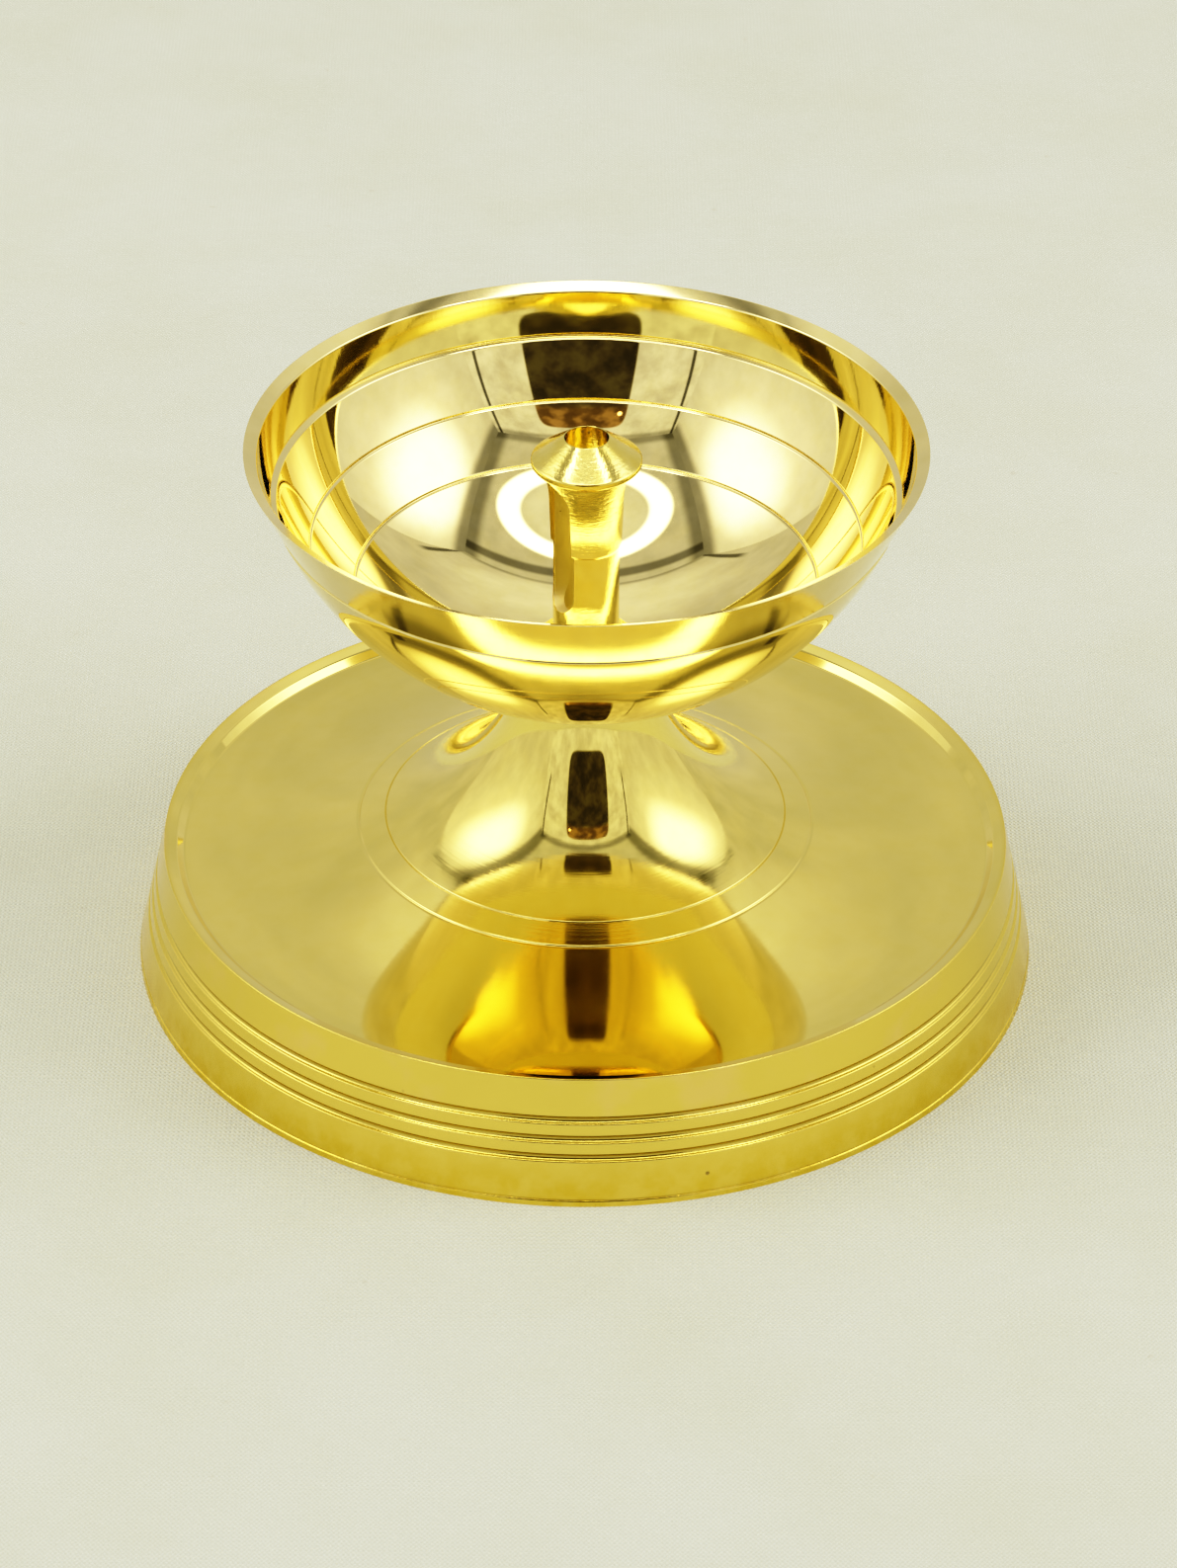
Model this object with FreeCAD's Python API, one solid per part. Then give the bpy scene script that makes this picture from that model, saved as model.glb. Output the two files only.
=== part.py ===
import FreeCAD, Part
import math
import os

# A turned brass oil lamp that comes apart: a hollow pedestal base with a trumpet stem, a thin round
# oil bowl, and a tubular wick holder whose threaded spigot passes through the bowl's floor into the
# stem and clamps the bowl. A thin washer seals each side of the floor. Millimetres, +Z up, origin at
# the centre of the foot circle. Every piece except the wick holder's window is a solid of revolution.

# ---- driving dimensions: pedestal base ----
FOOT_RADIUS = 44.5
FOOT_WIDTH = 2.2            # width of the ring that the lamp stands on
FOOT_BEAD = 0.5             # height of the small bead below the lowest scribed line
SIDE_HEIGHT = 12.7
LIP_OUTER_RADIUS = 41.6
LIP_WIDTH = 1.2             # sloping lip between the side and the dish
LIP_DROP = 0.45
DISH_EDGE_RADIUS = 39.7
DISH_EDGE_Z = 11.5
BASE_WALL = 2.0
SIDE_GROOVES = (8.6, 6.7, 4.85)       # heights of the three grooves round the side
GROOVE_HALF_WIDTH = 0.36
GROOVE_DEPTH = 0.34
FLARE_START_RADIUS = 19.8             # where the dish turns up into the trumpet stem
FLARE_START_Z = 15.0
FLARE_SLOPE = 21.0                    # degrees, the dish's slope at that radius
FLARE_ARC = 20.5
NECK_RADIUS = 7.1
NECK_TOP_Z = 30.2
DISH_RING_RADIUS = 22.4               # fine ring scribed in the dish; a second one starts the flare
HOLLOW_TOP_Z = 18.6
HOLLOW_TOP_RADIUS = 7.0
HOLLOW_MIDDLE = (13.0, 15.4)          # point of the rounded hollow under the flare

# ---- driving dimensions: oil bowl ----
BOWL_CENTRE_Z = 65.5                  # centre of the inner sphere
BOWL_INNER_RADIUS = 32.6
BELLY_CENTRE_Z = 63.2                 # the outside is a second sphere, so the wall thins upwards
BELLY_RADIUS = 32.2
RIM_RADIUS = 32.5
RIM_Z = 56.55
RIM_WIDTH = 1.1
RIM_DROP = 0.5                        # the lip slopes towards the inside
BAND_LOW_RADIUS = 29.6                # lower edge of the conical band turned outside under the rim
BAND_LOW_Z = 50.8
BAND_STEP = 0.12                      # the belly stands out this far below the band
INNER_BAND_RADIUS = 29.7              # conical band inside, from the top scribed line up to the lip
BOWL_FOOT_RADIUS = 7.2
BOWL_LINES = (51.7, 46.3, 41.6)       # heights of the three scribed lines inside
SCRIBE_HALF_WIDTH = 0.18
SCRIBE_DEPTH = 0.12
FLOOR_FLAT_RADIUS = 6.0

# ---- driving dimensions: the clamped joint ----
WASHER_THICKNESS = 0.5
NECK_WASHER_RADIUS = 6.8
HOLDER_WASHER_RADIUS = 5.0
THREAD_RADIUS = 3.0                   # M6 stem thread, plain cylinders stand for the thread
THREAD_CLEARANCE = 0.05
HOLE_CLEARANCE = 0.1                  # bowl floor and washers round the spigot
STEM_BORE_DEPTH = 8.4
SPIGOT_TIP_GAP = 0.9

# ---- driving dimensions: wick holder ----
SHOULDER_RADIUS = 4.6
SHOULDER_HEIGHT = 1.2
TUBE_RADIUS = 3.2
TUBE_STEP_Z = 45.6                    # small ledge where the fine turning starts
COLLAR_RADIUS = 3.42
FLARE_LOW_Z = 49.6
FLARE_LOW_RADIUS = 3.55
FLARE_HIGH_Z = 53.7
FLARE_HIGH_RADIUS = 4.0
FLARE_BULGE = 0.12                    # how far the flare under the cap is rounded outwards
CAP_RADIUS = 5.3
CAP_EDGE_Z = 54.5
CAP_EDGE_THICKNESS = 0.5
CAP_TOP_Z = 57.3
WICK_BORE_RADIUS = 2.1
WICK_BORE_FLOOR_Z = 37.6
BORE_CHAMFER = 0.15
WINDOW_WIDTH = 4.0
WINDOW_LOW_Z = 38.9
WINDOW_HIGH_Z = 53.1
WINDOW_TURN = 210.0                   # degrees about +Z, the way the oil window faces

EDGE_BREAK = 0.15                     # small chamfer on turned outer edges


def solid_of_revolution(steps):
    """Turn a closed half section about Z. A step is (r, z), or (r_mid, z_mid, r, z) for an arc."""
    start = FreeCAD.Vector(steps[0][0], 0, steps[0][1])
    here = start
    edges = []
    for step in steps[1:] + [steps[0]]:
        there = FreeCAD.Vector(step[-2], 0, step[-1])
        if len(step) == 4:
            middle = FreeCAD.Vector(step[0], 0, step[1])
            edges.append(Part.Arc(here, middle, there).toShape())
        else:
            edges.append(Part.LineSegment(here, there).toShape())
        here = there
    face = Part.Face(Part.Wire(edges))
    turned = face.revolve(FreeCAD.Vector(0, 0, 0), FreeCAD.Vector(0, 0, 1), 360)
    return turned if turned.Volume > 0 else turned.reversed()


def circle_point(centre, radius, angle):
    """Point of a circle in the half section; angle in degrees from the +r direction."""
    turn = math.radians(angle)
    return (centre[0] + radius * math.cos(turn), centre[1] + radius * math.sin(turn))


def arc_step(centre, radius, from_angle, to_angle):
    """Arc step along a circle, through the middle angle."""
    middle = circle_point(centre, radius, (from_angle + to_angle) / 2)
    return middle + circle_point(centre, radius, to_angle)


def scribed_arc(centre, radius, from_angle, to_angle, line_angles, outward):
    """Steps along an arc with a fine V scribed at each angle; outward is +1 or -1 along the radius."""
    half = math.degrees(SCRIBE_HALF_WIDTH / radius)
    towards = 1 if to_angle > from_angle else -1
    steps = []
    angle = from_angle
    for line in line_angles:
        steps.append(arc_step(centre, radius, angle, line - towards * half))
        steps.append(circle_point(centre, radius + outward * SCRIBE_DEPTH, line))
        angle = line + towards * half
        steps.append(circle_point(centre, radius, angle))
    steps.append(arc_step(centre, radius, angle, to_angle))
    return steps


def side_radius(z):
    """Radius of the base's conical side at a height."""
    return FOOT_RADIUS - (FOOT_RADIUS - LIP_OUTER_RADIUS) * z / SIDE_HEIGHT


def base_side():
    """The conical side from the floor up: bead, scribed line, three round grooves, sharp lip edge."""
    steps = [(FOOT_RADIUS - EDGE_BREAK, 0), (side_radius(EDGE_BREAK), EDGE_BREAK)]
    steps.append((side_radius(FOOT_BEAD), FOOT_BEAD))
    line_z = FOOT_BEAD + SCRIBE_DEPTH
    steps.append((side_radius(line_z) - SCRIBE_DEPTH, line_z))
    steps.append((side_radius(line_z + SCRIBE_DEPTH), line_z + SCRIBE_DEPTH))
    for z in reversed(SIDE_GROOVES):
        low = z - GROOVE_HALF_WIDTH
        high = z + GROOVE_HALF_WIDTH
        steps.append((side_radius(low), low))
        steps.append((side_radius(z) - GROOVE_DEPTH, z, side_radius(high), high))
    steps.append((LIP_OUTER_RADIUS, SIDE_HEIGHT))
    return steps


def dish_arc():
    """Centre and radius of the dish: the arc with the flare's slope where the flare starts."""
    run = DISH_EDGE_RADIUS - FLARE_START_RADIUS
    rise = FLARE_START_Z - DISH_EDGE_Z
    chord = math.hypot(run, rise)
    chord_slope = math.degrees(math.atan2(rise, run))
    half_turn = math.radians(FLARE_SLOPE - chord_slope)
    radius = chord / (2 * math.sin(half_turn))
    slope = math.radians(FLARE_SLOPE)
    centre = (FLARE_START_RADIUS + radius * math.sin(slope), FLARE_START_Z + radius * math.cos(slope))
    return centre, radius


def angle_at(centre, point):
    return math.degrees(math.atan2(point[1] - centre[1], point[0] - centre[0]))


def angle_at_radius(centre, radius, r):
    """Angle on the lower left of a circle where it has the radius r from the lamp's axis."""
    return -180 + math.degrees(math.acos((centre[0] - r) / radius))


def dish_and_stem():
    """From the lip in over the dish, up the trumpet stem and in over the neck's flat top."""
    lip_inner = (LIP_OUTER_RADIUS - LIP_WIDTH, SIDE_HEIGHT - LIP_DROP)
    centre, radius = dish_arc()
    edge_angle = angle_at(centre, (DISH_EDGE_RADIUS, DISH_EDGE_Z))
    flare_angle = angle_at(centre, (FLARE_START_RADIUS, FLARE_START_Z))
    ring_angle = angle_at_radius(centre, radius, DISH_RING_RADIUS)
    steps = [lip_inner, (DISH_EDGE_RADIUS + EDGE_BREAK, DISH_EDGE_Z + EDGE_BREAK)]
    steps.append((DISH_EDGE_RADIUS, DISH_EDGE_Z))
    steps += scribed_arc(centre, radius, edge_angle, flare_angle, [ring_angle], 1)
    steps.append((FLARE_START_RADIUS - SCRIBE_HALF_WIDTH / 2, FLARE_START_Z - SCRIBE_DEPTH))
    slope = math.radians(FLARE_SLOPE)
    flare_centre = (
        FLARE_START_RADIUS - SCRIBE_HALF_WIDTH + FLARE_ARC * math.sin(slope),
        FLARE_START_Z + SCRIBE_HALF_WIDTH * math.tan(slope) + FLARE_ARC * math.cos(slope),
    )
    start_angle = -90 - FLARE_SLOPE
    steps.append(circle_point(flare_centre, FLARE_ARC, start_angle))
    neck_low = NECK_TOP_Z - 2 * EDGE_BREAK
    end_angle = -180 + math.degrees(math.asin((flare_centre[1] - neck_low) / FLARE_ARC))
    steps.append(arc_step(flare_centre, FLARE_ARC, start_angle, end_angle))
    steps.append((NECK_RADIUS - EDGE_BREAK, NECK_TOP_Z))
    return steps


def pedestal_base():
    """Turned base: hollow below, solid in the neck, with the blind stem bore in its top."""
    bore = THREAD_RADIUS
    steps = base_side()
    steps += dish_and_stem()
    steps.append((bore, NECK_TOP_Z))
    steps.append((bore, NECK_TOP_Z - STEM_BORE_DEPTH))
    steps.append((0, NECK_TOP_Z - STEM_BORE_DEPTH - bore / math.sqrt(3)))
    steps.append((0, HOLLOW_TOP_Z))
    steps.append((HOLLOW_TOP_RADIUS, HOLLOW_TOP_Z))
    hollow_edge = (FOOT_RADIUS - FOOT_WIDTH - BASE_WALL, DISH_EDGE_Z - BASE_WALL)
    under_flare = (FLARE_START_RADIUS, FLARE_START_Z - BASE_WALL)
    centre, radius = dish_arc()
    middle_r = (hollow_edge[0] + under_flare[0]) / 2
    middle_z = centre[1] - math.sqrt(radius ** 2 - (centre[0] - middle_r) ** 2) - BASE_WALL
    steps.append(HOLLOW_MIDDLE + under_flare)
    steps.append((middle_r, middle_z) + hollow_edge)
    steps.append((FOOT_RADIUS - FOOT_WIDTH, 0))
    return solid_of_revolution(steps)


def floor_levels():
    """Heights of the clamped stack: underside of the bowl, its floor, and the holder's shoulder."""
    bowl_foot = NECK_TOP_Z + WASHER_THICKNESS
    sphere_bottom = BOWL_CENTRE_Z - math.sqrt(BOWL_INNER_RADIUS ** 2 - FLOOR_FLAT_RADIUS ** 2)
    return bowl_foot, sphere_bottom, sphere_bottom + WASHER_THICKNESS


def oil_bowl():
    """Thin round bowl with a conical band under the rim, a small foot and a hole in its floor."""
    bowl_foot, floor, _ = floor_levels()
    hole = THREAD_RADIUS + HOLE_CLEARANCE
    centre = (0, BOWL_CENTRE_Z)
    belly_centre = (0, BELLY_CENTRE_Z)

    def inner_angle(z):
        return -math.degrees(math.asin((BOWL_CENTRE_Z - z) / BOWL_INNER_RADIUS))

    belly_foot_z = BELLY_CENTRE_Z - math.sqrt(BELLY_RADIUS ** 2 - BOWL_FOOT_RADIUS ** 2)
    belly_top_z = BAND_LOW_Z - BAND_STEP
    belly_top_angle = -math.degrees(math.asin((BELLY_CENTRE_Z - belly_top_z) / BELLY_RADIUS))
    belly_foot_angle = angle_at(belly_centre, (BOWL_FOOT_RADIUS, belly_foot_z))
    band_line = BOWL_LINES[0]
    line_low = band_line - SCRIBE_HALF_WIDTH
    lines = [inner_angle(z) for z in BOWL_LINES[1:]]
    steps = [(hole, bowl_foot), (BOWL_FOOT_RADIUS - EDGE_BREAK, bowl_foot)]
    steps.append((BOWL_FOOT_RADIUS, bowl_foot + EDGE_BREAK))
    steps.append((BOWL_FOOT_RADIUS, belly_foot_z))
    steps.append(arc_step(belly_centre, BELLY_RADIUS, belly_foot_angle, belly_top_angle))
    steps.append((BAND_LOW_RADIUS, BAND_LOW_Z))
    steps.append((RIM_RADIUS, RIM_Z - EDGE_BREAK))
    steps.append((RIM_RADIUS - EDGE_BREAK, RIM_Z))
    steps.append((RIM_RADIUS - RIM_WIDTH, RIM_Z - RIM_DROP))
    steps.append((INNER_BAND_RADIUS, band_line + SCRIBE_HALF_WIDTH))
    steps.append((INNER_BAND_RADIUS + SCRIBE_DEPTH / 2, band_line))
    steps.append(circle_point(centre, BOWL_INNER_RADIUS, inner_angle(line_low)))
    steps += scribed_arc(centre, BOWL_INNER_RADIUS, inner_angle(line_low), inner_angle(floor), lines, 1)
    steps.append((hole, floor))
    return solid_of_revolution(steps)


def washer(low_z, radius):
    """Flat ring round the spigot with broken edges."""
    hole = THREAD_RADIUS + HOLE_CLEARANCE
    high_z = low_z + WASHER_THICKNESS
    edge = EDGE_BREAK
    return solid_of_revolution([
        (hole, low_z),
        (radius - edge, low_z),
        (radius, low_z + edge),
        (radius, high_z - edge),
        (radius - edge, high_z),
        (hole, high_z),
    ])


def wick_holder():
    """Tube with a conical cap, a shoulder that clamps the bowl, a spigot, and the oil window."""
    _, _, shoulder_z = floor_levels()
    spigot = THREAD_RADIUS - THREAD_CLEARANCE
    tip_z = NECK_TOP_Z - STEM_BORE_DEPTH + SPIGOT_TIP_GAP
    tube_z = shoulder_z + SHOULDER_HEIGHT
    ledge = COLLAR_RADIUS - TUBE_RADIUS
    flare_middle = (FLARE_LOW_RADIUS + FLARE_BULGE, (FLARE_LOW_Z + FLARE_HIGH_Z) / 2)
    edge_top = CAP_EDGE_Z + CAP_EDGE_THICKNESS
    turned = solid_of_revolution([
        (0, tip_z),
        (spigot - 2 * EDGE_BREAK, tip_z),
        (spigot, tip_z + 2 * EDGE_BREAK),
        (spigot, shoulder_z),
        (SHOULDER_RADIUS, shoulder_z),
        (SHOULDER_RADIUS, tube_z - 2 * EDGE_BREAK),
        (SHOULDER_RADIUS - 2 * EDGE_BREAK, tube_z),
        (TUBE_RADIUS, tube_z),
        (TUBE_RADIUS, TUBE_STEP_Z),
        (COLLAR_RADIUS, TUBE_STEP_Z + ledge),
        (FLARE_LOW_RADIUS, FLARE_LOW_Z),
        flare_middle + (FLARE_HIGH_RADIUS, FLARE_HIGH_Z),
        (CAP_RADIUS, CAP_EDGE_Z),
        (CAP_RADIUS, edge_top),
        (WICK_BORE_RADIUS + BORE_CHAMFER, CAP_TOP_Z),
        (WICK_BORE_RADIUS, CAP_TOP_Z - BORE_CHAMFER),
        (WICK_BORE_RADIUS, WICK_BORE_FLOOR_Z),
        (0, WICK_BORE_FLOOR_Z - WICK_BORE_RADIUS / math.sqrt(3)),
    ])
    return turned.cut(oil_window())


def oil_window():
    """Round-ended slot that cuts one side of the tube, from its axis outwards."""
    half = WINDOW_WIDTH / 2
    reach = 2 * CAP_RADIUS
    middle = Part.makeBox(reach, WINDOW_WIDTH, WINDOW_HIGH_Z - WINDOW_LOW_Z - WINDOW_WIDTH)
    middle.translate(FreeCAD.Vector(0, -half, WINDOW_LOW_Z + half))
    cutter = middle
    for z in (WINDOW_LOW_Z + half, WINDOW_HIGH_Z - half):
        end = Part.makeCylinder(half, reach, FreeCAD.Vector(0, 0, z), FreeCAD.Vector(1, 0, 0))
        cutter = cutter.fuse(end)
    cutter.rotate(FreeCAD.Vector(0, 0, 0), FreeCAD.Vector(0, 0, 1), WINDOW_TURN)
    return cutter.removeSplitter()


def main():
    os.makedirs("parts", exist_ok=True)
    _, floor, _ = floor_levels()
    pieces = {
        "pedestal_base": pedestal_base(),
        "neck_washer": washer(NECK_TOP_Z, NECK_WASHER_RADIUS),
        "oil_bowl": oil_bowl(),
        "holder_washer": washer(floor, HOLDER_WASHER_RADIUS),
        "wick_holder": wick_holder(),
    }
    for name, shape in pieces.items():
        if not shape.isValid() or len(shape.Solids) != 1:
            raise RuntimeError(name + " is not one valid solid")
        shape.Solids[0].exportStep("parts/" + name + ".step")
        box = shape.BoundBox
        print(name, round(shape.Volume, 1), [round(v, 3) for v in (box.XMax, box.ZMin, box.ZMax)])


main()
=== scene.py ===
import bmesh
import bpy
import math
from mathutils import Matrix, Vector


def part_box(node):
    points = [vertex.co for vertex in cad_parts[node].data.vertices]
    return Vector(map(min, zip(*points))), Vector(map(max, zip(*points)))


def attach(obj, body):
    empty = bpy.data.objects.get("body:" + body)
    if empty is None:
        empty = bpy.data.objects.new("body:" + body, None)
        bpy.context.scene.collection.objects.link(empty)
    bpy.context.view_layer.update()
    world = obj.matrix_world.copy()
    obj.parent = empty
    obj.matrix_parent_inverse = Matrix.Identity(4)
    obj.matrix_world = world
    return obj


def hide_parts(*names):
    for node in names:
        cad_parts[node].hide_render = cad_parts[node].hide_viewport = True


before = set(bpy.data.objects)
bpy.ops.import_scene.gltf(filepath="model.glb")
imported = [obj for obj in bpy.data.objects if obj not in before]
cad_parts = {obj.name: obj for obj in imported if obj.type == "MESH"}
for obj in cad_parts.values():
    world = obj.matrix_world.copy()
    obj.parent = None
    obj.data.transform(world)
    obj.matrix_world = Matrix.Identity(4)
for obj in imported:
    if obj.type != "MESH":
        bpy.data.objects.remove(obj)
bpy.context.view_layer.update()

# A turned brass oil lamp. Every piece is a lathe mesh finer than the CAD solids, so that polished
# brass reflects smoothly. The lamp's sizes are millimetres, and MM turns them into Blender's metres.
# The tent, the lights and the camera are placed in metres.

MM = 0.001
MICROMETRE = 1e-6
ROUND_STEPS = 5               # points on each rounded corner
ROUND_SHARE = 0.4             # largest share of a run that one rounded corner takes
SPINS = 240                   # segments round the axis of the large pieces
CORNER = math.radians(2.0)    # smallest turn between two runs that gets rounded

# ---- sizes from the frame ----
BASE_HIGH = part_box("pedestal_base")[1] / MM
BOWL_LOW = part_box("oil_bowl")[0] / MM
BOWL_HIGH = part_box("oil_bowl")[1] / MM
HOLDER_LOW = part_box("wick_holder")[0] / MM
HOLDER_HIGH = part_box("wick_holder")[1] / MM
NECK_WASHER = [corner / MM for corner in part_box("neck_washer")]
HOLDER_WASHER = [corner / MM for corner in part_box("holder_washer")]

# ---- pedestal base ----
FOOT_RADIUS = 44.5
FOOT_WIDTH = 2.2
FOOT_BEAD = 0.5
SIDE_HEIGHT = 12.7
LIP_OUTER_RADIUS = 41.6
LIP_WIDTH = 1.2
LIP_DROP = 0.45
DISH_EDGE_RADIUS = 39.7
DISH_EDGE_Z = 11.5
BASE_WALL = 2.0
SIDE_GROOVES = (4.85, 6.7, 8.6)
GROOVE_HALF_WIDTH = 0.36
GROOVE_DEPTH = 0.34
FLARE_START_RADIUS = 19.8
FLARE_START_Z = 15.0
FLARE_SLOPE = math.radians(21.0)
FLARE_ARC = 20.5
NECK_RADIUS = 7.1
NECK_TOP_Z = BASE_HIGH.z
DISH_RINGS = (22.4, 19.8)
DISH_TURNED = (14.0, 32.5)    # radii between which the turning marks are left on the dish
DISH_FEED = 0.39              # distance between those marks
HOLLOW_TOP_Z = 18.6
HOLLOW_TOP_RADIUS = 7.0
HOLLOW_MIDDLE = (13.0, 15.4)  # radius and height halfway down the hollow under the stem
HOLLOW_ROUNDING = 0.6

# ---- oil bowl ----
BOWL_CENTRE_Z = 65.5
BOWL_INNER_RADIUS = 32.6
BELLY_CENTRE_Z = 63.2
BELLY_RADIUS = 32.2
RIM_RADIUS = BOWL_HIGH.x
RIM_Z = BOWL_HIGH.z
RIM_WIDTH = 1.3
RIM_DROP = 0.655
RIM_BEND = 0.49               # share of the drop that the outer half of the lip takes
BAND_LOW_RADIUS = 29.6
BAND_LOW_Z = 50.8
BAND_STEP = 0.12
INNER_BAND_RADIUS = 29.95
INNER_BAND_CURVE = 0.12       # bulge of the inner band away from a straight cone
BOWL_FOOT_RADIUS = 7.2
BOWL_LINES = (51.7, 46.3, 41.6)
SCRIBE_HALF_WIDTH = 0.18
SCRIBE_DEPTH = 0.12

# ---- clamped joint ----
THREAD_RADIUS = 3.0
THREAD_PITCH = 1.0
THREAD_DEPTH = 0.45
THREAD_STEPS = 10             # rows of points in one pitch
THREAD_RUNOUT = 0.6           # plain length under the shoulder
SPIGOT_CLEARANCE = 0.05
HOLE_CLEARANCE = 0.1
STEM_BORE_DEPTH = 8.4

# ---- wick holder ----
SHOULDER_RADIUS = 4.6
SHOULDER_HEIGHT = 1.2
TUBE_RADIUS = 3.2
TUBE_STEP_Z = 45.6
COLLAR_RADIUS = 3.42
FLARE_LOW_Z = 49.6
FLARE_LOW_RADIUS = 3.55
FLARE_BULGE = 0.12
FLARE_HIGH_Z = 53.7
FLARE_HIGH_RADIUS = 4.0
CAP_RADIUS = HOLDER_HIGH.x
CAP_EDGE_Z = 54.5
CAP_EDGE_THICKNESS = 0.5
CAP_TOP_Z = HOLDER_HIGH.z
WICK_BORE_RADIUS = 2.1
WICK_BORE_FLOOR_Z = 37.6
WINDOW_WIDTH = 4.0
WINDOW_LOW_Z = 38.9
WINDOW_HIGH_Z = 53.1
WINDOW_TURN = math.radians(210.0)
WINDOW_STEPS = 32             # segments in each round end

EDGE = 0.15                   # usual rounding of a turned edge
HOLDER_SPINS = 96
HOLDER_SHARP = math.radians(32.0)


# ---------------------------------------------------------------- half sections and lathe meshes

class Line:
    """Straight run of a half section."""

    def __init__(self, start, end):
        self.start, self.end = Vector(start), Vector(end)
        self.length = (self.end - self.start).length

    def at(self, s):
        direction = (self.end - self.start) / self.length
        return self.start + direction * s, direction


class Arc:
    """Round run of a half section, from one angle to another in radians."""

    def __init__(self, centre, radius, begin, finish):
        self.centre, self.radius = Vector(centre), radius
        self.begin, self.finish = begin, finish
        self.length = abs(finish - begin) * radius
        self.start, self.end = self.at(0)[0], self.at(self.length)[0]

    def at(self, s):
        way = 1 if self.finish > self.begin else -1
        angle = self.begin + way * s / self.radius
        out = Vector((math.cos(angle), math.sin(angle)))
        return self.centre + out * self.radius, Vector((-out.y, out.x)) * way


def arc_through(start, middle, end):
    """Arc from start to end through a middle point."""
    a, b, c = Vector(start), Vector(middle), Vector(end)
    sides = ((a, b, c), (b, c, a), (c, a, b))
    scale = 2 * sum(p.x * (q.y - r.y) for p, q, r in sides)
    x = sum(p.length_squared * (q.y - r.y) for p, q, r in sides) / scale
    y = sum(p.length_squared * (r.x - q.x) for p, q, r in sides) / scale
    centre = Vector((x, y))
    angles = [math.atan2(p.y - y, p.x - x) for p in (a, b, c)]
    for i in (1, 2):
        while angles[i] - angles[i - 1] > math.pi:
            angles[i] -= 2 * math.pi
        while angles[i] - angles[i - 1] < -math.pi:
            angles[i] += 2 * math.pi
    return Arc(centre, (a - centre).length, angles[0], angles[2])


def section(runs, step=0.5, closed=False, rounding=EDGE):
    """Points along the runs, each a place (r, z) and a direction, with every corner rounded."""
    cuts = [0.0] * (len(runs) + 1)
    for i in range(0 if closed else 1, len(runs)):
        before, after = runs[i - 1], runs[i]
        turn = before.at(before.length)[1].angle(after.at(0)[1], 0)
        if turn > CORNER:
            cuts[i] = min(rounding, ROUND_SHARE * before.length, ROUND_SHARE * after.length)
    cuts[len(runs)] = cuts[0]
    points = []
    for i, run in enumerate(runs):
        low, high = cuts[i], run.length - cuts[i + 1]
        count = max(1, math.ceil((high - low) / step))
        for k in range(count + 1):
            place, way = run.at(low + (high - low) * k / count)
            if k or not i or cuts[i]:
                points.append((place, way))
        if cuts[i + 1] and (i + 1 < len(runs) or closed):
            after = runs[(i + 1) % len(runs)]
            p0 = points[-1][0]
            p1 = run.end
            p2 = after.at(cuts[i + 1])[0]
            for k in range(1, ROUND_STEPS):
                t = k / ROUND_STEPS
                place = p0 * (1 - t) ** 2 + p1 * 2 * t * (1 - t) + p2 * t * t
                way = ((p1 - p0) * (1 - t) + (p2 - p1) * t).normalized()
                points.append((place, way))
    return points


def add_object(name, data):
    made = bpy.data.objects.new(name, data)
    bpy.context.scene.collection.objects.link(made)
    return made


def spin(name, points, spins, closed, thread=None):
    """Lathe mesh from half-section points, with exact normals unless thread(r, z, turn) moves r."""
    verts, normals, rows = [], [], []
    for place, way in points:
        normal = Vector((way.y, -way.x))
        if place.x < 1e-6:
            rows.append([len(verts)] * spins)
            verts.append(Vector((0, 0, place.y)) * MM)
            normals.append(Vector((0, 0, math.copysign(1, normal.y))))
            continue
        rows.append(list(range(len(verts), len(verts) + spins)))
        for k in range(spins):
            turn = 2 * math.pi * k / spins
            r = thread(place.x, place.y, turn) if thread else place.x
            verts.append(Vector((r * math.cos(turn), r * math.sin(turn), place.y)) * MM)
            normals.append(Vector((normal.x * math.cos(turn), normal.x * math.sin(turn), normal.y)))
    faces = []
    last = len(rows) if closed else len(rows) - 1
    for i in range(last):
        low, high = rows[i], rows[(i + 1) % len(rows)]
        for k in range(spins):
            j = (k + 1) % spins
            corners = [low[k], low[j], high[j], high[k]]
            unique = [v for n, v in enumerate(corners) if v not in corners[:n]]
            if len(unique) > 2:
                faces.append(unique)
    mesh = bpy.data.meshes.new(name)
    mesh.from_pydata(verts, [], faces)
    mesh.update()
    mesh.shade_smooth()
    if not thread:
        mesh.normals_split_custom_set_from_vertices(normals)
    return add_object(name, mesh)


def helix(crest, low, high):
    """Radius of a thread cut into a spigot between two heights, fading out at each end."""
    def thread(r, z, turn):
        if abs(r - crest) > 1e-3 or not low < z < high:
            return r
        phase = (z / THREAD_PITCH - turn / (2 * math.pi)) % 1
        # a triangle wave, cut off a little at the crest and at the root
        valley = max(0, min(1, 1.3 * (1 - abs(2 * phase - 1)) - 0.15))
        fade = min(1, (z - low) / (0.5 * THREAD_PITCH), (high - z) / (0.5 * THREAD_PITCH))
        return r - THREAD_DEPTH * valley * fade
    return thread


# ---------------------------------------------------------------- pieces

def side_radius(z):
    """Radius of the base's plain conical side at a height."""
    return FOOT_RADIUS - (FOOT_RADIUS - LIP_OUTER_RADIUS) * z / SIDE_HEIGHT


def polyline(points):
    return [Line(a, b) for a, b in zip(points, points[1:])]


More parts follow.
